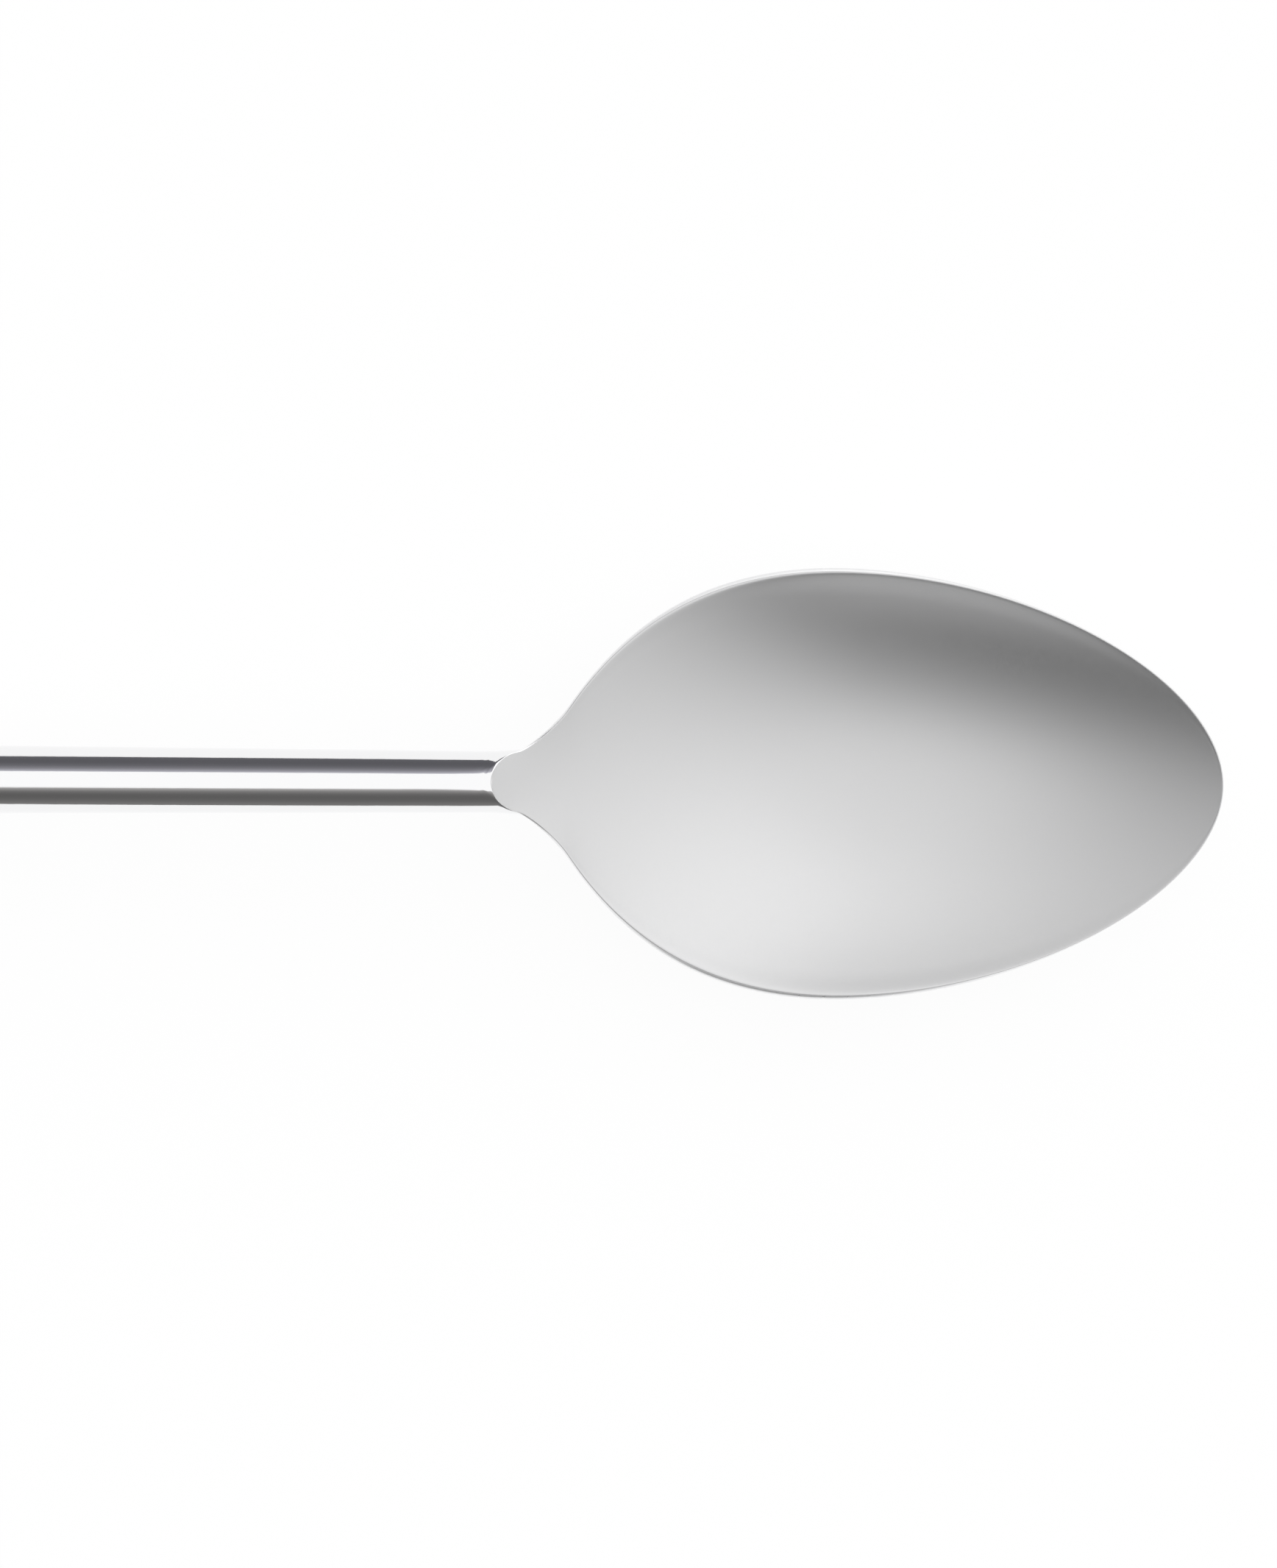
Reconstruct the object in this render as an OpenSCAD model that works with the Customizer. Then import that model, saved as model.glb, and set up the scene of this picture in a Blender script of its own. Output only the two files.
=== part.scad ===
// Dinner spoon in one piece: a round rod of a handle that opens into an egg-shaped bowl.
// Millimetres, +X runs from the handle's end to the bowl's tip, +Z is up.
// The spoon lies as it does on a table: the belly of the bowl and the handle's end both
// touch Z = 0, and X = 0 is half-way along the whole length.

/* [Whole spoon] */
// Length from the end of the handle to the tip of the bowl
spoon_len = 205; // [195:1:215]

/* [Bowl outline] */
// Length of the hollow from its nose on the handle to the tip
bowl_len = 70.9; // [67:0.1:74]
// Half of the hollow's width at its widest place
bowl_half_w = 20.35; // [19:0.05:21.5]
// Distance from the nose to the widest place
widest_at = 33.5; // [31:0.5:37]
// Distance from the nose to the place where the neck's flare turns back towards the shoulder
flare_at = 7.5; // [7:0.1:8.5]
// Half of the hollow's width at that place
flare_half_w = 7; // [6.4:0.1:7.4]
// Angle of the outline at that place, away from the spoon's length
flare_angle = 56; // [52:0.5:60]
// Distance from the nose to the place where the hollow is as wide as the rod
nose_at = 2.65; // [2.4:0.05:2.9]
// How far the shoulder bulges before it reaches the widest place
shoulder_pull = 13.1; // [11:0.1:15]
// How far the flare runs straight on into the shoulder
flare_pull = 8.7; // [7.5:0.1:10]
// How long the sides stay near full width on their way to the tip
side_pull = 19.1; // [16:0.1:20.5]
// How blunt the tip is
tip_pull = 10; // [8:0.1:11.5]

/* [Bowl depth] */
// Height of the rim beside the deepest place
mid_rim_z = 9.3; // [8.7:0.1:10]
// Height of the rim at the tip
tip_rim_z = 9.5; // [8.8:0.1:10.5]
// Distance from the nose to the deepest place
deepest_at = 37; // [34:0.5:40]
// Slope of the hollow where it cuts into the rod
nose_slope = 37; // [34:0.5:40]
// Slope of the floor where it reaches the tip
tip_slope = 24; // [20:0.5:28]

/* [Metal thickness] */
// Thickness of the bowl at its deepest place
floor_t = 1.5; // [1.2:0.05:1.8]
// How much the belly is flattened where it rests, so that the spoon lies steady
rest_cut = 0.15; // [0.12:0.01:0.2]
// Thickness that the floor would have right at the nose, fading towards the bowl
neck_t = 3.2; // [2.8:0.05:3.6]
// How far the underside has dropped below the rod 8 mm in front of the nose
neck_drop = 2.4; // [2.1:0.05:2.7]
// Width of the rounded lip beside the deepest place
lip_w = 0.64; // [0.5:0.01:0.7]
// Width of the lip at the tip
tip_lip_w = 0.12; // [0.1:0.01:0.3]
// Thickness of the lip, measured straight down
lip_t = 1; // [0.85:0.05:1.15]
// Radius of the small rounding where the hollow cuts the rod
nose_lip_r = 0.16; // [0.12:0.01:0.2]

/* [Handle] */
// Diameter of the rod at the nose of the bowl
neck_d = 6; // [5.8:0.05:6.3]
// Diameter of the rod near its end
end_d = 7.6; // [7:0.1:8.2]
// Height of the rod's middle line at the nose of the bowl
neck_z = 13.6; // [13.2:0.1:14]
// How far the handle arches above a straight line
arch = 2.4; // [1:0.1:3.6]
// Length of the rounded end
end_round = 3.2; // [2.6:0.1:3.8]

/* [Hidden] */

// Fineness of the surface: steps along each stretch of the outline, across the hollow,
// over the lip, round the outside, along the rod and over its rounded end.
nose_steps = 7;
flare_steps = 9;
shoulder_steps = 16;
tip_steps = 26;
hollow_steps = 28;
lip_steps = 5;
outside_steps = 40;
rod_steps = 26;
dome_steps = 7;

// Places along X: most others are measured from the nose of the hollow.
nose_x = spoon_len / 2 - bowl_len - tip_lip_w;
end_x = -spoon_len / 2;
// Where the plain rod stops, just behind the nose.
rod_stop = -0.6;

// How far from the nose one shape gives way to the next: the round underside of the rod to
// the underside of the bowl, the small rounding to a lip that stands upright, the narrow lip
// to the full one, the full lip to the narrow one of the tip, and the thick neck to the
// thin floor.
blend_from = 3.5;
blend_to = 12;
lip_upright_at = 9;
lip_wider_from = 3;
lip_full_at = 22;
lip_thins_from = 25;
thick_to = 22;
// The floor thins to the lip over this length in front of the tip.
thin_run = 24;
// Distance from the nose at which neck_drop is measured.
drop_run = 8;

// Pulls of the outline's curves at the nose, and the slight spread of the rod's sides there.
nose_pull = 1.6;
rod_pull_back = 1.33;
rod_pull_on = 0.8;
flare_pull_back = 2.3;
rod_spread = 8.8;

// Slope of the rim where it reaches the tip.
tip_rim_slope = 0.04;

// How softly the flattened rest runs out into the round of the belly.
rest_soft = 0.1;

// How closely the outside keeps to the round of the rod, and to the bowl, before it turns
// out to the lip: higher is closer.
round_hold = 3;
bowl_hold = 4;

// The leanest hollow that is still a hollow, in degrees of dish.
least_dish = 0.5;
// A short step along the surface, for finding which way it faces, and how close to the
// nose and the tip that is done.
probe = 0.004;
nose_probe = 0.02;
tip_probe = 3.985;

function ease(a, b, x) =
    let (q = max(0, min(1, (x - a) / (b - a))))
    q * q * (3 - 2 * q);
function mix(a, b, q) = a + (b - a) * q;
function unit(v) = v / norm(v);
function up_to(n) = [for (i = [0:n]) i / n];

// Cubic curve through the first and last of four points.
function bend(p, t) =
    pow(1 - t, 3) * p[0] + 3 * pow(1 - t, 2) * t * p[1]
    + 3 * (1 - t) * t * t * p[2] + pow(t, 3) * p[3];
// Height between two places whose heights and slopes are known.
function slope_to(z0, m0, z1, m1, run, t) =
    z0 * (2 * pow(t, 3) - 3 * t * t + 1) + m0 * run * (pow(t, 3) - 2 * t * t + t)
    + z1 * (3 * t * t - 2 * pow(t, 3)) + m1 * run * (pow(t, 3) - t * t);

// The outline of the hollow seen from above, in four stretches: round the nose, along the
// flare, over the shoulder, and down the side to the tip. Each point is [along, half width].
rod_side = [nose_at, neck_d / 2 - nose_lip_r];
rod_run = [cos(rod_spread), sin(rod_spread)];
flare_mid = [flare_at, flare_half_w];
flare_run = [cos(flare_angle), sin(flare_angle)];
nose_curve = [[0, 0], [0, nose_pull], rod_side - rod_pull_back * rod_run, rod_side];
flare_curve = [
    rod_side,
    rod_side + rod_pull_on * rod_run,
    flare_mid - flare_pull_back * flare_run,
    flare_mid
];
shoulder_curve = [
    flare_mid,
    flare_mid + flare_pull * flare_run,
    [widest_at - shoulder_pull, bowl_half_w],
    [widest_at, bowl_half_w]
];
tip_curve = [
    [widest_at, bowl_half_w],
    [widest_at + side_pull, bowl_half_w],
    [bowl_len, tip_pull],
    [bowl_len, 0]
];
outline = [nose_curve, flare_curve, shoulder_curve, tip_curve];
// u counts the stretches: 0 is the nose and 4 is the tip.
function outline_at(u) =
    let (part = max(0, min(3, floor(u))))
    bend(outline[part], u - part);

// Middle line of the rod, and of what is left of it under the bowl. The rod falls towards
// its end, so its middle line ends a little low for the rounded end to touch the table.
rod_len = nose_x - end_x;
end_fall = (neck_z - end_d / 2 + 4 * arch) / rod_len;
rod_end_z = end_d / 2 - end_round * end_fall;
function rod_r(s) = mix(neck_d, end_d, max(0, -s) / rod_len) / 2;
function rod_z(s) =
    let (q = max(0, min(1, -s / rod_len)))
    mix(neck_z, rod_end_z, q) + 4 * arch * q * (1 - q)
    - neck_drop * pow(max(0, s) / drop_run, 2);

// Floor of the hollow along its middle, from the top of the rod to the tip.
nose_z = neck_z + neck_d / 2 - nose_lip_r * (1 - cos(nose_slope));
function floor_z(s) =
    s < deepest_at
    ? slope_to(nose_z, -tan(nose_slope), floor_t, 0, deepest_at, s / deepest_at)
    : slope_to(floor_t, 0, tip_rim_z, tan(tip_slope), bowl_len - deepest_at,
        (s - deepest_at) / (bowl_len - deepest_at));
// Height of the rim: it leaves the floor softly at the nose, so that the hollow has no crease
// where the flare opens into the bowl.
function rim_z(s) =
    s < deepest_at
    ? floor_z(s) + (mid_rim_z - floor_t) * ease(0, deepest_at, s)
    : slope_to(mid_rim_z, 0, tip_rim_z, tip_rim_slope, bowl_len - deepest_at,
        (s - deepest_at) / (bowl_len - deepest_at));

// A point of the hollow. v runs from 0 in the middle to 1 at the rim; across the spoon the
// hollow is an arc of a circle.
function hollow(u, v) =
    let (
        q = outline_at(u),
        rise = rim_z(q[0]) - floor_z(q[0]),
        dish = max(least_dish, 2 * atan2(rise, q[1])),
        r = q[1] / sin(dish)
    )
    [q[0], r * sin(v * dish), floor_z(q[0]) + r * (1 - cos(v * dish))];
// The way the hollow faces at that point.
function facing(u, v) =
    let (
        v_in = (u <= 0 || u >= 4) ? 0 : min(v, 1 - probe),
        u_in = max(nose_probe, min(tip_probe, u)),
        along = hollow(u_in + probe, v_in) - hollow(u_in - probe, v_in),
        across = hollow(u_in, v_in + probe) - hollow(u_in, v_in - probe)
    )
    unit(cross(along, across));
// The way the rim runs.
function rim_run(u) =
    u <= 0 ? [0, 1, 0]
    : u >= 4 ? [0, -1, 0]
    : unit(hollow(min(4, u + probe), 1) - hollow(max(0, u - probe), 1));

// The lip is a round edge, half of an upright ellipse. It starts level at the hollow's edge
// and turns over until it faces the way the outside of the bowl does; at the nose it stands
// square to the cut, and turns only as far as the side of the rod.
function upright(s) = ease(nose_at, lip_upright_at, s);
function lip_reach(s) =
    let (full = mix(lip_w, tip_lip_w, ease(lip_thins_from, bowl_len, s)))
    mix(nose_lip_r, full, ease(lip_wider_from, lip_full_at, s));
function lip_depth(s) = mix(nose_lip_r, lip_t / 2, upright(s));
function lip_up(u) =
    let (
        run = rim_run(u),
        w = mix(facing(u, 1), [0, 0, 1], upright(outline_at(u)[0]))
    )
    unit(w - (w * run) * run);
function lip_out(u) = cross(lip_up(u), rim_run(u));
function lip_turn(u) =
    let (
        q = outline_at(u),
        side = min(1, q[1] / rod_side[1]),
        at_rod = acos(cos(nose_slope) * sqrt(1 - side * side)),
        lean = atan2(-facing(u, 1) * lip_out(u), facing(u, 1) * lip_up(u))
    )
    mix(at_rod, 180 - lean, upright(q[0]));
function lip(u, turn) =
    let (s = outline_at(u)[0])
    hollow(u, 1) - lip_depth(s) * (1 - cos(turn)) * lip_up(u)
    + lip_reach(s) * sin(turn) * lip_out(u);

// How near the tip a place is: 1 far from it and 0 right there.
function off_tip(s) = ease(0, thin_run, bowl_len - s);
// Thickness of the bowl before the belly is flattened: rim_t beside the lip, another towards
// the middle.
function wall(s, v, rim_t) =
    let (middle = floor_t + rest_cut + (neck_t - floor_t) * pow(1 - min(1, s / thick_to), 2))
    rim_t + (middle - rim_t) * pow(1 - v * v, 2) * off_tip(s);

// A point of the outside, from the lip's edge (v = 1) round to the underside (v = 0).
// Close to the nose it keeps the round of the rod, further on it runs under the hollow.
// missed is what a surface at the distance rim_t under the hollow lacks to meet that edge.
function outside(u, v, edge, rim_t, missed) =
    let (
        s = outline_at(u)[0],
        turn = atan2(edge[1], edge[2] - rod_z(s)),
        reach = norm([edge[1], edge[2] - rod_z(s)]),
        a = 180 - (180 - turn) * v,
        r = mix(rod_r(s), reach, pow(v, round_hold)),
        round_x = mix(s, edge[0], pow(v, round_hold)),
        round_p = [round_x, r * sin(a), rod_z(s) + r * cos(a)],
        under = hollow(u, v) - wall(s, v, rim_t) * facing(u, v),
        bowl_p = under + missed * mix(1, pow(v, bowl_hold), off_tip(s))
    )
    rested(mix(round_p, bowl_p, ease(blend_from, blend_to, s)));
// What would reach below the table is brought up to it, with a soft edge.
function rested(p) =
    [p[0], p[1], (p[2] + norm([p[2], rest_soft])) / 2];

function mirrored(p) = [p[0], -p[1], p[2]];
function lifted(p) = [p[0] + nose_x, p[1], p[2]];

// Half of one ring round the bowl, on the +Y side, from the middle of the hollow over the
// lip and round to the underside.
half_hollow = hollow_steps / 2;
half_outside = outside_steps / 2;
function half_ring(u) =
    let (
        turn = lip_turn(u),
        edge = lip(u, turn),
        rim_t = facing(u, 1) * (hollow(u, 1) - edge),
        missed = edge - hollow(u, 1) + rim_t * facing(u, 1)
    )
    [
        for (q = up_to(half_hollow)) hollow(u, q),
        for (k = [1:lip_steps]) lip(u, turn * k / lip_steps),
        for (k = [1:half_outside]) outside(u, 1 - k / half_outside, edge, rim_t, missed)
    ];
// The same number of points round the rod: all that would cross the hollow meet at the top.
function half_rod(s, r, z) = [
    for (k = [0:half_hollow + lip_steps]) [s, 0, z + r],
    for (k = [1:half_outside])
        let (a = 180 * k / half_outside)
        [s, r * sin(a), z + r * cos(a)]
];
// A whole ring is the half and its mirror image.
function ring(half) =
    let (n = len(half))
    [for (p = half) lifted(p), for (k = [n - 2:-1:1]) lifted(mirrored(half[k]))];

// The rounded end, then the rod, then the four stretches of the bowl.
dome_rings = [
    for (k = [0:dome_steps - 1])
        let (
            a = 90 * k / dome_steps,
            s = -rod_len + end_round * (1 - cos(a))
        )
        ring(half_rod(s, rod_r(s) * sin(a), rod_z(s)))
];
rod_rings = [
    for (k = [0:rod_steps - 1])
        let (s = mix(-rod_len + end_round, rod_stop, k / (rod_steps - 1)))
        ring(half_rod(s, rod_r(s), rod_z(s)))
];
function stretch(first, steps) = [for (k = [0:steps - 1]) ring(half_ring(first + k / steps))];
bowl_rings = concat(
    stretch(0, nose_steps),
    stretch(1, flare_steps),
    stretch(2, shoulder_steps),
    stretch(3, tip_steps),
    [ring(half_ring(4))]
);
rings = concat(dome_rings, rod_rings, bowl_rings);
round_count = len(rings[0]);
points = [for (r = rings) for (p = r) p];
nose_ring = dome_steps + rod_steps;
tip_ring = len(rings) - 1;
past_lip = half_hollow + lip_steps;

// Number of the point at one step of one ring. Where steps of a ring meet in one place they
// share one number: at the very end of the rod, along the rod's top, and across the hollow
// and both lips at the nose and at the tip.
function point_no(i, k) =
    let (
        j = k % round_count,
        m = min(j, round_count - j),
        shared =
            i == 0 ? past_lip
            : i < nose_ring ? (m <= past_lip ? past_lip : j)
            : i == nose_ring ? (m <= half_hollow ? half_hollow : m <= past_lip ? m : j)
            : i == tip_ring ? max(half_hollow, min(past_lip, m))
            : j
    )
    i * round_count + shared;

// Two triangles join each step of one ring to the next; where points are shared there is
// only one, or none. Along the rod only the steps round its outside are joined.
function is_face(f) = f[0] != f[1] && f[1] != f[2] && f[2] != f[0];
faces = [
    for (i = [0:tip_ring - 1])
        let (skip = i < nose_ring ? past_lip : 0)
        for (k = [skip:round_count - 1 - skip])
            let (
                a = point_no(i, k),
                b = point_no(i, k + 1),
                c = point_no(i + 1, k),
                d = point_no(i + 1, k + 1)
            )
            for (f = [[a, b, d], [a, d, c]])
                if (is_face(f)) f
];

module spoon() {
    color("silver")
        polyhedron(points = points, faces = faces, convexity = 6);
}

spoon();
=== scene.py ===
# %% [markdown]
# # A dinner spoon, satin inside and polished outside
#
# The spoon is one piece of stainless steel: a round rod that opens into an egg-shaped bowl.
# The construction model already holds its true form, so this lesson adds what a maker does
# last at the bench. The hollow is blasted with fine glass beads, which leaves a soft grey
# satin. The outside and the handle are buffed to a mirror, and the lip is rubbed smooth by hand.
#
# All lengths are in metres. X runs from the handle's end to the tip, Z is up, and the table
# is at Z = 0.

import math

import bmesh
import bpy
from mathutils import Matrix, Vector
from mathutils.bvhtree import BVHTree
from mathutils.kdtree import KDTree


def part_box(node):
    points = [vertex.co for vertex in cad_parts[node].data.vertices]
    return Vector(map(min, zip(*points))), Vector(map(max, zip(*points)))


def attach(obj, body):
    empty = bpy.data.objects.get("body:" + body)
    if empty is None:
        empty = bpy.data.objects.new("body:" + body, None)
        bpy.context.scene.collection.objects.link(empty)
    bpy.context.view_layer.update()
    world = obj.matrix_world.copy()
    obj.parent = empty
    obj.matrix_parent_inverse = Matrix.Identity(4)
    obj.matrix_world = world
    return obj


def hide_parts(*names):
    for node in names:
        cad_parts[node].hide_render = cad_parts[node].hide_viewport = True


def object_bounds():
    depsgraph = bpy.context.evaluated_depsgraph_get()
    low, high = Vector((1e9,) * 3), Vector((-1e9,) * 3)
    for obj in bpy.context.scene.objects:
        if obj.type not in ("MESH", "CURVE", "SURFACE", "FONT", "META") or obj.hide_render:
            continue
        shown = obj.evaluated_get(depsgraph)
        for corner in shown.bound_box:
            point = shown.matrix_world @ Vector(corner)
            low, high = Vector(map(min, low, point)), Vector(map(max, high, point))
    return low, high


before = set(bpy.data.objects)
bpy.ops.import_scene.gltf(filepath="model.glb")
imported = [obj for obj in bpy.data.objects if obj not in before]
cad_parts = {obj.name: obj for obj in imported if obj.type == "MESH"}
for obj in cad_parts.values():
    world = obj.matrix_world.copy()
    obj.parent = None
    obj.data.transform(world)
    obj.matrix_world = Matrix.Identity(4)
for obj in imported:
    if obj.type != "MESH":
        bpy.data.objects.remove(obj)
cad_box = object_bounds()
low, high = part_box("spoon")
print("spoon, mm:", [round(1000 * (b - a), 1) for a, b in zip(low, high)])

# %% [markdown]
# ## One skin of steel
#
# A forged spoon has one unbroken skin. The model's skin comes as loose triangles, so its
# doubled corners are merged first, and pairs of triangles are joined into four-sided faces.
# A subdivision surface then rounds the small flats between them, and it needs mostly
# four-sided faces to run smoothly along the rod and round the lip.

# %% Merge the skin
MERGE = 1e-6  # corners closer than this are one
PAIR_BEND = math.radians(30)  # how much two triangles may bend and still be joined
PAIR_SHAPE = math.radians(179)  # any outline of a four-sided face will do

steel = bmesh.new()
steel.from_mesh(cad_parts["spoon"].data)
loose = len(steel.verts)
bmesh.ops.remove_doubles(steel, verts=steel.verts, dist=MERGE)
bmesh.ops.join_triangles(
    steel,
    faces=steel.faces,
    angle_face_threshold=PAIR_BEND,
    angle_shape_threshold=PAIR_SHAPE,
    topology_influence=1.0,
)
print("corners:", loose, "loose,", len(steel.verts), "merged; faces:", len(steel.faces))

# %% [markdown]
# ## Where the beads struck
#
# The blasted finish stops where the hollow turns over into the lip, because the lip is rubbed
# smooth afterwards. That line is found the way a fingertip would find it: start on the floor
# of the bowl and move outwards from face to face as long as the surface bends gently. The lip
# bends many times faster than the hollow, so the walk ends there by itself.

# %% Find the hollow
GENTLE = 500.0  # the fastest bend of the hollow, in radians for each metre crossed
CORNER = math.radians(12)  # a turn this large between two faces is never part of the hollow
LEVEL = 0.9  # a face whose normal rises more than this faces up
BELOW_FLOOR = Vector((0.069, 0.0, 0.0))  # under the middle of the bowl's floor


def goes_on(edge):
    """Whether the hollow goes on across an edge."""
    one, other = edge.link_faces
    run = (one.calc_center_median() - other.calc_center_median()).length
    turn = one.normal.angle(other.normal)
    return turn < CORNER and turn / run < GENTLE


steel.normal_update()
facing_up = [f for f in steel.faces if f.normal.z > LEVEL]
start = min(facing_up, key=lambda f: (f.calc_center_median() - BELOW_FLOOR).length)
hollow, edge_of_walk = {start}, [start]
while edge_of_walk:
    face = edge_of_walk.pop()
    for edge in face.edges:
        if goes_on(edge):
            for neighbour in edge.link_faces:
                if neighbour not in hollow:
                    hollow.add(neighbour)
                    edge_of_walk.append(neighbour)

SATIN, POLISHED = 0, 1
for face in steel.faces:
    face.smooth = True
    face.material_index = SATIN if face in hollow else POLISHED
area = sum(f.calc_area() for f in hollow)
print("hollow:", len(hollow), "faces,", round(1e4 * area, 1), "square cm")

# %% Keep the hollow's edge crisp
LIP_FROM = 0.036  # the rubbed lip starts here, where the neck has opened out into the bowl

crease = steel.edges.layers.float.new("crease_edge")
rim = [e for e in steel.edges if sum(f in hollow for f in e.link_faces) == 1]
for edge in rim:
    if edge.calc_face_angle() > CORNER:
        edge[crease] = 1.0
        edge.smooth = False
rim_line = [v.co.copy() for e in rim for v in e.verts if v.co.x > LIP_FROM]
nose = min((v.co for e in rim for v in e.verts), key=lambda spot: spot.x).copy()
print("rim:", len(rim), "edges, crisp:", sum(not e.smooth for e in rim))

# %% [markdown]
# ## Even out the skin round the nose
#
# The hollow begins with a small nose on top of the rod. Many thin faces meet the rod's long
# ones there, and a mirror shows every such change as a broken reflection. A polisher would
# blend the place by hand. Here the corners outside the hollow slide towards the middle of
# their neighbours, a little at a time, and after each step they go back onto the surface of
# the construction model, so that only the faces change and not the form.

# %% Even out the faces round the nose
RELAX_NEAR = 0.009  # metres round the nose
RELAX_ROUNDS = 12
RELAX_STEP = 0.5  # how far towards its neighbours a corner goes in one round

true_skin = BVHTree.FromBMesh(steel)
rim_corners = {v for e in rim for v in e.verts}
crowded = [
    v for v in steel.verts
    if v not in rim_corners
    and (v.co - nose).length < RELAX_NEAR
    and not any(f in hollow for f in v.link_faces)
]
for relax_round in range(RELAX_ROUNDS):
    bmesh.ops.smooth_vert(
        steel, verts=crowded, factor=RELAX_STEP,
        use_axis_x=True, use_axis_y=True, use_axis_z=True,
    )
    for corner in crowded:
        corner.co = true_skin.find_nearest(corner.co)[0]
steel.normal_update()
print("nose, mm:", [round(1000 * c, 2) for c in nose], "corners evened out:", len(crowded))

# %% [markdown]
# ## Round the skin off
#
# The real skin has no flats at all. The joined faces become one piece with a subdivision
# surface on it, which turns each face into sixteen and lets them flow into each other. The
# hollow's edge stays sharp where it was marked as crisp.

# %% Make the piece
SKIN_LEVELS = 2

mesh = bpy.data.meshes.new("spoon_skin")
steel.to_mesh(mesh)
steel.free()
spoon = bpy.data.objects.new("spoon_skin", mesh)
bpy.context.scene.collection.objects.link(spoon)
round_off = spoon.modifiers.new("round_off", "SUBSURF")
round_off.levels = SKIN_LEVELS
round_off.render_levels = SKIN_LEVELS

# %% [markdown]
# ## Keep the true size
#
# A subdivided skin draws in a little wherever it bends, most of all round the thin lip. Each
# corner of its cage is therefore moved out by as much as the skin falls short of it, a few
# times over, until the smooth skin all but passes through the corners of the construction
# model. Round the nose of the hollow this would bring the broken reflections back, so there
# the skin is left as it rounds off. The printed miss leaves the nose out by the same share.
#
# The skin is then kept as a plain mesh. Between its corners it may bulge by a hair's breadth,
# so whatever stands outside the model's box is pressed back into it.

# %% Fit the skin to the model
FIT_ROUNDS = 6
NOSE_LEFT, NOSE_FULL = 0.003, 0.007  # metres round the nose: no fit within, full fit beyond

true_corners = [v.co.copy() for v in mesh.vertices]


def share_of_fit(corner):
    """0 round the hollow's nose, where the skin is best left as it rounds off, and 1 elsewhere."""
    share = ((corner - nose).length - NOSE_LEFT) / (NOSE_FULL - NOSE_LEFT)
    return min(max(share, 0.0), 1.0)


shares = [share_of_fit(corner) for corner in true_corners]


def skin_corners():
    """Where the smooth skin now passes nearest to each corner of its cage."""
    bpy.context.view_layer.update()
    smooth = spoon.evaluated_get(bpy.context.evaluated_depsgraph_get()).to_mesh()
    return [smooth.vertices[k].co.copy() for k in range(len(true_corners))]


for fit_round in range(FIT_ROUNDS + 1):
    misses = [true - now for true, now in zip(true_corners, skin_corners())]
    worst = max(miss.length * share for miss, share in zip(misses, shares))
    print("largest miss left to mend, mm:", round(1000 * worst, 4))
    if fit_round < FIT_ROUNDS:
        for vertex, miss, share in zip(mesh.vertices, misses, shares):
            vertex.co += share * miss
        mesh.update()

# %% Make the smooth skin the piece's own mesh
cage = mesh
mesh = bpy.data.meshes.new_from_object(
    spoon.evaluated_get(bpy.context.evaluated_depsgraph_get())
)
outside = 0.0
for vertex in mesh.vertices:
    held = Vector(min(max(c, a), b) for c, a, b in zip(vertex.co, *cad_box))
    outside = max(outside, (held - vertex.co).length)
    vertex.co = held
spoon.modifiers.clear()
spoon.data = mesh
bpy.data.meshes.remove(cage)
mesh.name = "spoon_skin"
print("skin:", sum(len(p.vertices) - 2 for p in mesh.polygons), "triangles")
print("pressed back into the model's box by, mm:", round(1000 * outside, 3))

# %% [markdown]
# ## Find the lip
#
# The lip has a finish of its own, so the material needs to know how near each spot lies to
# the hollow's edge. The distance is measured once for every corner of the skin and kept with
# it as a named value, which the material reads.

# %% Measure how far each spot is from the lip
near_rim = KDTree(len(rim_line))
for number, spot in enumerate(rim_line):
    near_rim.insert(spot, number)
near_rim.balance()
from_lip = mesh.attributes.new("from_lip", "FLOAT", "POINT")
from_lip.data.foreach_set("value", [near_rim.find(v.co)[2] for v in mesh.vertices])
print("spots measured:", len(from_lip.data))

# %% [markdown]
# ## Let it stand for the model
#
# The finished skin takes the place of the construction model's spoon and moves with its body.

# %% Place it in the frame
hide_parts("spoon")
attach(spoon, "root")
print(spoon.name, "stands for the model's spoon")

# %% [markdown]
# ## Marks in the steel
#
# Both finishes are made by rubbing or striking the same steel, so both are fine, even
# patterns of tiny dents. One node group makes them: a noise whose grain can be drawn out
# along the spoon. It gives the noise itself, for the bump, and the same noise spread between
# two values, for the roughness.

# %% Node group for fine marks
NOISE_LOW, NOISE_HIGH = 0.3, 0.7  # nearly all of the noise lies between these


def new_group(name, inputs, outputs):
    """A shader node group with its sockets and its two end nodes."""
    group = bpy.data.node_groups.new(name, "ShaderNodeTree")
    for label, value in inputs:
        socket = group.interface.new_socket(label, in_out="INPUT", socket_type="NodeSocketFloat")
        socket.default_value = value
    for label in outputs:
        group.interface.new_socket(label, in_out="OUTPUT", socket_type="NodeSocketFloat")
    start_node = group.nodes.new("NodeGroupInput")
    end_node = group.nodes.new("NodeGroupOutput")
    return group, start_node, end_node


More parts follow.
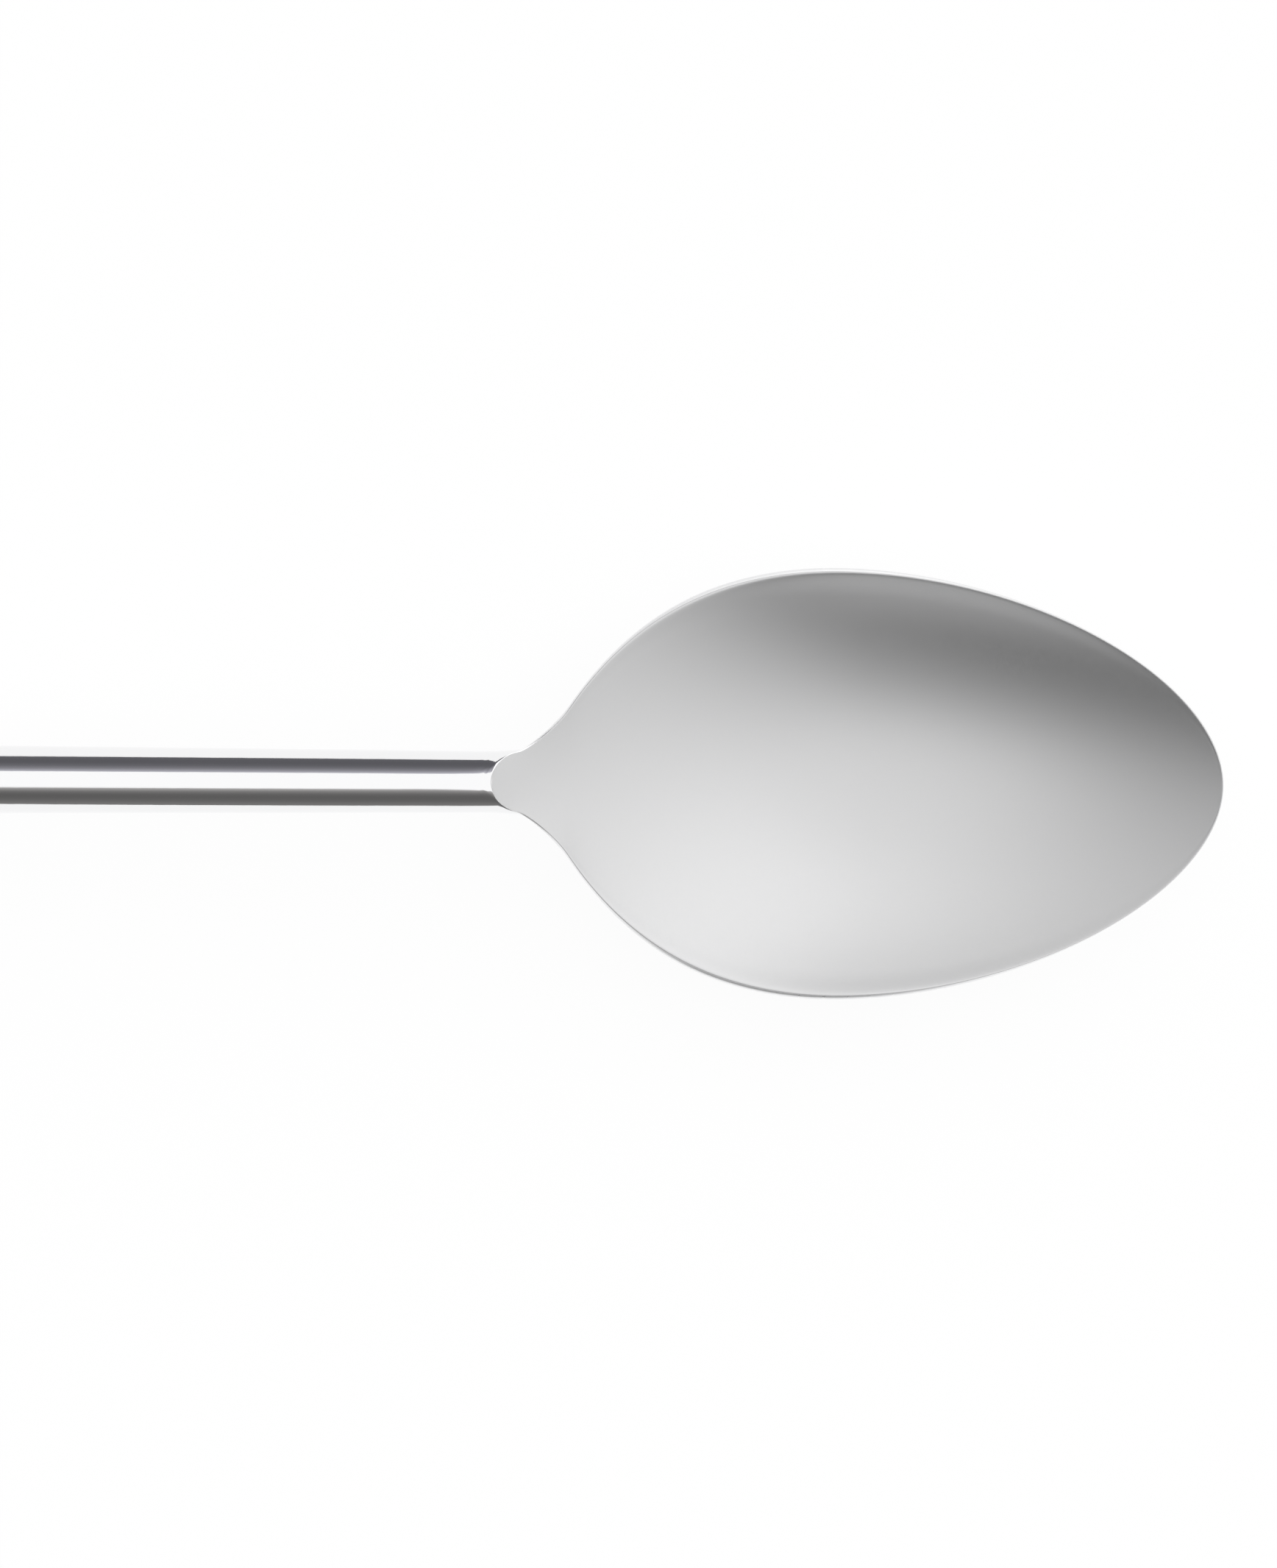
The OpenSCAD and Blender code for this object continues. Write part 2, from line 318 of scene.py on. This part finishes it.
marks, marks_in, marks_out = new_group(
    "fine_marks",
    [("Grain mm", 0.15), ("Draw", 1.0), ("Low", 0.0), ("High", 1.0)],
    ["Height", "Value"],
)
where = marks.nodes.new("ShaderNodeTexCoord")
per_metre = marks.nodes.new("ShaderNodeMath")
per_metre.operation = "DIVIDE"
per_metre.inputs[0].default_value = 1000.0
marks.links.new(marks_in.outputs["Grain mm"], per_metre.inputs[1])
shorten = marks.nodes.new("ShaderNodeMath")
shorten.operation = "DIVIDE"
shorten.inputs[0].default_value = 1.0
marks.links.new(marks_in.outputs["Draw"], shorten.inputs[1])
stretch = marks.nodes.new("ShaderNodeCombineXYZ")
stretch.inputs["Y"].default_value = 1.0
stretch.inputs["Z"].default_value = 1.0
marks.links.new(shorten.outputs[0], stretch.inputs["X"])
drawn = marks.nodes.new("ShaderNodeVectorMath")
drawn.operation = "MULTIPLY"
marks.links.new(where.outputs["Object"], drawn.inputs[0])
marks.links.new(stretch.outputs[0], drawn.inputs[1])
grain = marks.nodes.new("ShaderNodeTexNoise")
grain.inputs["Detail"].default_value = 2.0
grain.inputs["Roughness"].default_value = 0.55
marks.links.new(drawn.outputs[0], grain.inputs["Vector"])
marks.links.new(per_metre.outputs[0], grain.inputs["Scale"])
marks.links.new(grain.outputs["Fac"], marks_out.inputs["Height"])
spread = marks.nodes.new("ShaderNodeMapRange")
spread.inputs["From Min"].default_value = NOISE_LOW
spread.inputs["From Max"].default_value = NOISE_HIGH
marks.links.new(grain.outputs["Fac"], spread.inputs["Value"])
marks.links.new(marks_in.outputs["Low"], spread.inputs["To Min"])
marks.links.new(marks_in.outputs["High"], spread.inputs["To Max"])
marks.links.new(spread.outputs["Result"], marks_out.inputs["Value"])
print("fine_marks:", len(marks.nodes), "nodes")

# %% [markdown]
# ## The two finishes
#
# Stainless steel is a neutral grey metal. Glass beads leave shallow round dents a tenth of a
# millimetre across, close together, so the satin spreads every reflection into a soft glow.
# The buffed steel keeps reflections sharp, with faint lines drawn along the spoon by the
# wheel. The lip is too thin for the wheel and is only rubbed by hand, so it stays rougher,
# and that roughness dies away within two millimetres of the hollow's edge.

# %% Build the steels
LIP_ROUGHNESS = 0.26  # what rubbing by hand adds
LIP_NEAR, LIP_PAST = 0.0008, 0.0018  # metres from the hollow's edge


def steel_material(name, colour, grain_mm, draw, rough_low, rough_high, dent, lip):
    """Steel with its own grain, roughness, depth of dent in metres and rougher lip."""
    material = bpy.data.materials.new(name)
    material.use_nodes = True
    nodes, links = material.node_tree.nodes, material.node_tree.links
    shader = nodes["Principled BSDF"]
    shader.inputs["Base Color"].default_value = (*colour, 1.0)
    shader.inputs["Metallic"].default_value = 1.0
    fine = nodes.new("ShaderNodeGroup")
    fine.node_tree = marks
    fine.inputs["Grain mm"].default_value = grain_mm
    fine.inputs["Draw"].default_value = draw
    fine.inputs["Low"].default_value = rough_low
    fine.inputs["High"].default_value = rough_high
    rubbed = nodes.new("ShaderNodeAttribute")
    rubbed.attribute_name = "from_lip"
    on_lip = nodes.new("ShaderNodeMapRange")
    on_lip.interpolation_type = "SMOOTHSTEP"
    on_lip.inputs["From Min"].default_value = LIP_NEAR
    on_lip.inputs["From Max"].default_value = LIP_PAST
    on_lip.inputs["To Min"].default_value = lip
    on_lip.inputs["To Max"].default_value = 0.0
    links.new(rubbed.outputs["Fac"], on_lip.inputs["Value"])
    rough = nodes.new("ShaderNodeMath")
    rough.operation = "ADD"
    links.new(fine.outputs["Value"], rough.inputs[0])
    links.new(on_lip.outputs["Result"], rough.inputs[1])
    links.new(rough.outputs[0], shader.inputs["Roughness"])
    bump = nodes.new("ShaderNodeBump")
    bump.inputs["Strength"].default_value = 1.0
    bump.inputs["Distance"].default_value = dent
    links.new(fine.outputs["Height"], bump.inputs["Height"])
    links.new(bump.outputs["Normal"], shader.inputs["Normal"])
    return material


satin = steel_material(
    "satin_steel", (0.64, 0.64, 0.643), grain_mm=0.16, draw=1.0,
    rough_low=0.37, rough_high=0.43, dent=2e-6, lip=0.0,
)
polished = steel_material(
    "polished_steel", (0.88, 0.88, 0.885), grain_mm=0.12, draw=14.0,
    rough_low=0.05, rough_high=0.10, dent=4e-7, lip=LIP_ROUGHNESS,
)
mesh.materials.append(satin)
mesh.materials.append(polished)
print("finishes:", [m.name for m in mesh.materials])

# %% [markdown]
# ## A pale table
#
# The spoon lies on white paper that runs on out of sight. The camera sees it as white with
# the spoon's faint shadow, and the polished steel reflects it as white.

# %% Lay the table
TABLE_SIZE = 6.0
PAPER_COLOUR = 0.9
SHADOW_SHARE = 0.12  # how much of the table's look comes from the light that falls on it
PAPER_WHITE = 1.03  # this and the light together make white

table_form = bmesh.new()
bmesh.ops.create_grid(table_form, x_segments=1, y_segments=1, size=TABLE_SIZE / 2)
table_mesh = bpy.data.meshes.new("table")
table_form.to_mesh(table_mesh)
table_form.free()
table = bpy.data.objects.new("table", table_mesh)
bpy.context.scene.collection.objects.link(table)

paper = bpy.data.materials.new("white_paper")
paper.use_nodes = True
nodes, links = paper.node_tree.nodes, paper.node_tree.links
matt = nodes["Principled BSDF"]
matt.inputs["Base Color"].default_value = (PAPER_COLOUR, PAPER_COLOUR, PAPER_COLOUR, 1.0)
matt.inputs["Roughness"].default_value = 0.9
white = nodes.new("ShaderNodeEmission")
white.inputs["Color"].default_value = (1.0, 1.0, 1.0, 1.0)
white.inputs["Strength"].default_value = PAPER_WHITE
seen = nodes.new("ShaderNodeLightPath")
by_camera = nodes.new("ShaderNodeMath")
by_camera.operation = "MULTIPLY"
by_camera.inputs[1].default_value = 1.0 - SHADOW_SHARE
links.new(seen.outputs["Is Camera Ray"], by_camera.inputs[0])
by_either = nodes.new("ShaderNodeMath")
by_either.operation = "MAXIMUM"
links.new(by_camera.outputs[0], by_either.inputs[0])
links.new(seen.outputs["Is Glossy Ray"], by_either.inputs[1])
blend = nodes.new("ShaderNodeMixShader")
links.new(by_either.outputs[0], blend.inputs[0])
links.new(matt.outputs[0], blend.inputs[1])
links.new(white.outputs[0], blend.inputs[2])
links.new(blend.outputs[0], nodes["Material Output"].inputs["Surface"])
table_mesh.materials.append(paper)
print("table, m:", TABLE_SIZE)

# %% [markdown]
# ## A soft room
#
# Polished steel has no colour of its own, so the room is what one sees on the spoon. The
# ceiling is one wide soft panel. Below it the room is bright on the far right, as from a
# curtained window, and falls off evenly towards the near left, apart from a low pale wall on
# the near side and a darker one beyond the handle's end. That gradient is the slow change
# from light to dark across the satin hollow. The camera itself sees plain white there, as it
# does on the table. There are no lamps: the room gives all the light.

# %% Light the room
ROOM_LIGHT = 0.35  # level with the spoon, halfway round from the window
ROOM_SLOPE = 0.80  # how much brighter the room is where the window is
ROOM_RISE = 0.66  # how much brighter it is high up than low down
ROOM_LIMIT = 1.4  # no part of it is brighter than this
WINDOW_TO = math.radians(50)  # where the window is, turned from +X towards +Y
WALL_LIGHT = 0.78  # the wall on the near side
END_LIGHT = 0.24  # the wall beyond the handle's end
WALL_TOP = 0.32  # as the sine of their height above the horizon
WALL_SOFT = 0.12
CEILING_LIGHT = 1.09
CEILING_EDGE = 0.88  # as the cosine of the angle between the panel's edge and straight up
CEILING_SOFT = 0.03

world = bpy.data.worlds.new("room")
world.use_nodes = True
world.cycles.sampling_method = "NONE"  # the reflections alone find the light
bpy.context.scene.world = world
nodes, links = world.node_tree.nodes, world.node_tree.links


def value(operation, *inputs):
    """A math node of the room, and what it puts out."""
    node = nodes.new("ShaderNodeMath")
    node.operation = operation
    for socket, given in zip(node.inputs, inputs):
        if isinstance(given, (int, float)):
            socket.default_value = given
        else:
            links.new(given, socket)
    return node.outputs[0]


def step(given, edge, soft):
    """0 below an edge and 1 above it, with a soft change."""
    node = nodes.new("ShaderNodeMapRange")
    node.interpolation_type = "SMOOTHSTEP"
    node.inputs["From Min"].default_value = edge - soft
    node.inputs["From Max"].default_value = edge + soft
    links.new(given, node.inputs["Value"])
    return node.outputs["Result"]


towards = nodes.new("ShaderNodeTexCoord")
part = nodes.new("ShaderNodeSeparateXYZ")
links.new(towards.outputs["Generated"], part.inputs[0])
east, north, up = part.outputs

# %% Window, walls and ceiling
window_side = value(
    "ADD",
    value("MULTIPLY", east, math.cos(WINDOW_TO)),
    value("MULTIPLY", north, math.sin(WINDOW_TO)),
)
sloped = value("MULTIPLY_ADD", window_side, ROOM_SLOPE, ROOM_LIGHT)
glow = value("MULTIPLY_ADD", up, ROOM_RISE, sloped)
glow = value("MINIMUM", value("MAXIMUM", glow, 0.0), ROOM_LIMIT)
low_down = value("SUBTRACT", 1.0, step(up, WALL_TOP, WALL_SOFT))
near_wall = value("MAXIMUM", value("MULTIPLY", north, -WALL_LIGHT), 0.0)
end_wall = value("MAXIMUM", value("MULTIPLY", east, -END_LIGHT), 0.0)
glow = value("MULTIPLY_ADD", low_down, value("ADD", near_wall, end_wall), glow)
overhead = step(up, CEILING_EDGE, CEILING_SOFT)
strength = value(
    "ADD",
    value("MULTIPLY", glow, value("SUBTRACT", 1.0, overhead)),
    value("MULTIPLY", overhead, CEILING_LIGHT),
)
room = nodes["Background"]
room.inputs["Color"].default_value = (1.0, 1.0, 1.0, 1.0)
links.new(strength, room.inputs["Strength"])
backdrop = nodes.new("ShaderNodeBackground")
backdrop.inputs["Color"].default_value = (1.0, 1.0, 1.0, 1.0)
backdrop.inputs["Strength"].default_value = 1.0
seen = nodes.new("ShaderNodeLightPath")
choose = nodes.new("ShaderNodeMixShader")
links.new(seen.outputs["Is Camera Ray"], choose.inputs[0])
links.new(room.outputs[0], choose.inputs[1])
links.new(backdrop.outputs[0], choose.inputs[2])
links.new(choose.outputs[0], nodes["World Output"].inputs["Surface"])
print("room:", len(nodes), "nodes")

# %% [markdown]
# ## Two black cards
#
# A shiny rod would be lost in so soft a room. So a black card stands on either side of it,
# and the two draw the dark bands along the handle. The nearer a card is, the lower it can be,
# and the low near card stays out of the reflections in the bowl's lip. Only reflections see
# the cards, so they can stand close by without hiding anything. They stop beside the neck,
# which leaves the bowl in open light, and fade away along the handle. Each card is darkest a
# little above the rod and paler towards its edges, which keeps the bands' borders soft.

# %% Stand the cards
CARD_FROM, CARD_TO = -0.11, 0.036  # along X
FADE_FROM, FADE_TO = -0.10, -0.03  # the card turns from clear to black between these


def black_card(name, y, foot, top, darkest_at, low, high, tint):
    """A card along the rod, which only reflections see. Lengths and heights in metres."""
    form = bmesh.new()
    base = form.edges.new([form.verts.new((x, y, foot)) for x in (CARD_FROM, CARD_TO)])
    grown = bmesh.ops.extrude_edge_only(form, edges=[base])
    moved = [v for v in grown["geom"] if isinstance(v, bmesh.types.BMVert)]
    bmesh.ops.translate(form, verts=moved, vec=(0.0, 0.0, top - foot))
    card_mesh = bpy.data.meshes.new(name)
    form.to_mesh(card_mesh)
    form.free()
    card = bpy.data.objects.new(name, card_mesh)
    bpy.context.scene.collection.objects.link(card)
    for kind in ("camera", "diffuse", "shadow", "transmission"):
        setattr(card, "visible_" + kind, False)

    material = bpy.data.materials.new(name)
    material.use_nodes = True
    nodes, links = material.node_tree.nodes, material.node_tree.links
    place = nodes.new("ShaderNodeTexCoord")
    split = nodes.new("ShaderNodeSeparateXYZ")
    links.new(place.outputs["Object"], split.inputs[0])
    above = nodes.new("ShaderNodeMath")
    above.operation = "SUBTRACT"
    above.inputs[1].default_value = darkest_at
    links.new(split.outputs["Z"], above.inputs[0])
    curve = nodes.new("ShaderNodeMath")
    curve.operation = "MULTIPLY"
    links.new(above.outputs[0], curve.inputs[0])
    links.new(above.outputs[0], curve.inputs[1])
    grey = nodes.new("ShaderNodeMath")
    grey.operation = "MULTIPLY_ADD"
    grey.inputs[1].default_value = (high - low) / (top - darkest_at) ** 2
    grey.inputs[2].default_value = low
    links.new(curve.outputs[0], grey.inputs[0])
    dim = nodes.new("ShaderNodeEmission")
    dim.inputs["Color"].default_value = (*tint, 1.0)
    links.new(grey.outputs[0], dim.inputs["Strength"])
    fade = nodes.new("ShaderNodeMapRange")
    fade.interpolation_type = "SMOOTHSTEP"
    fade.inputs["From Min"].default_value = FADE_FROM
    fade.inputs["From Max"].default_value = FADE_TO
    links.new(split.outputs["X"], fade.inputs["Value"])
    clear = nodes.new("ShaderNodeBsdfTransparent")
    blend = nodes.new("ShaderNodeMixShader")
    links.new(fade.outputs["Result"], blend.inputs[0])
    links.new(clear.outputs[0], blend.inputs[1])
    links.new(dim.outputs[0], blend.inputs[2])
    links.new(blend.outputs[0], nodes["Material Output"].inputs["Surface"])
    card_mesh.materials.append(material)
    return card


far_card = black_card(
    "far_card", 0.025, foot=0.0160, top=0.0606, darkest_at=0.024,
    low=0.115, high=0.60, tint=(0.97, 0.96, 1.06),
)
near_card = black_card(
    "near_card", -0.010, foot=0.0140, top=0.0333, darkest_at=0.0205,
    low=0.12, high=0.51, tint=(1.01, 0.99, 0.98),
)
print("cards:", far_card.name, near_card.name)

# %% [markdown]
# ## Looking straight down
#
# The camera hangs over the bowl and looks straight down from almost a metre, so the outline
# shows its true shape. It is turned by a trace, as in the photograph, and the handle runs out
# of the picture on the left.

# %% Place the camera
CAMERA_HEIGHT = 0.90
SENSOR = 36.0  # mm along the picture's longer side
VIEW_HEIGHT = 0.1522  # metres of the spoon's rim plane that fill the picture from top to bottom
RIM_HEIGHT = 0.009
VIEW_MIDDLE = (0.0457, -0.00013)
ROLL = math.radians(0.3)
NEAREST_SEEN, FARTHEST_SEEN = 0.01, 20.0

camera_data = bpy.data.cameras.new("camera")
camera_data.sensor_width = SENSOR
camera_data.sensor_fit = "AUTO"
camera_data.lens = SENSOR * (CAMERA_HEIGHT - RIM_HEIGHT) / VIEW_HEIGHT
camera_data.clip_start = NEAREST_SEEN
camera_data.clip_end = FARTHEST_SEEN
camera = bpy.data.objects.new("camera", camera_data)
camera.location = (*VIEW_MIDDLE, CAMERA_HEIGHT)
camera.rotation_euler = (0.0, 0.0, ROLL)
bpy.context.scene.collection.objects.link(camera)
bpy.context.scene.camera = camera
bpy.context.scene.view_settings.view_transform = "Standard"
print("lens, mm:", round(camera_data.lens, 1))
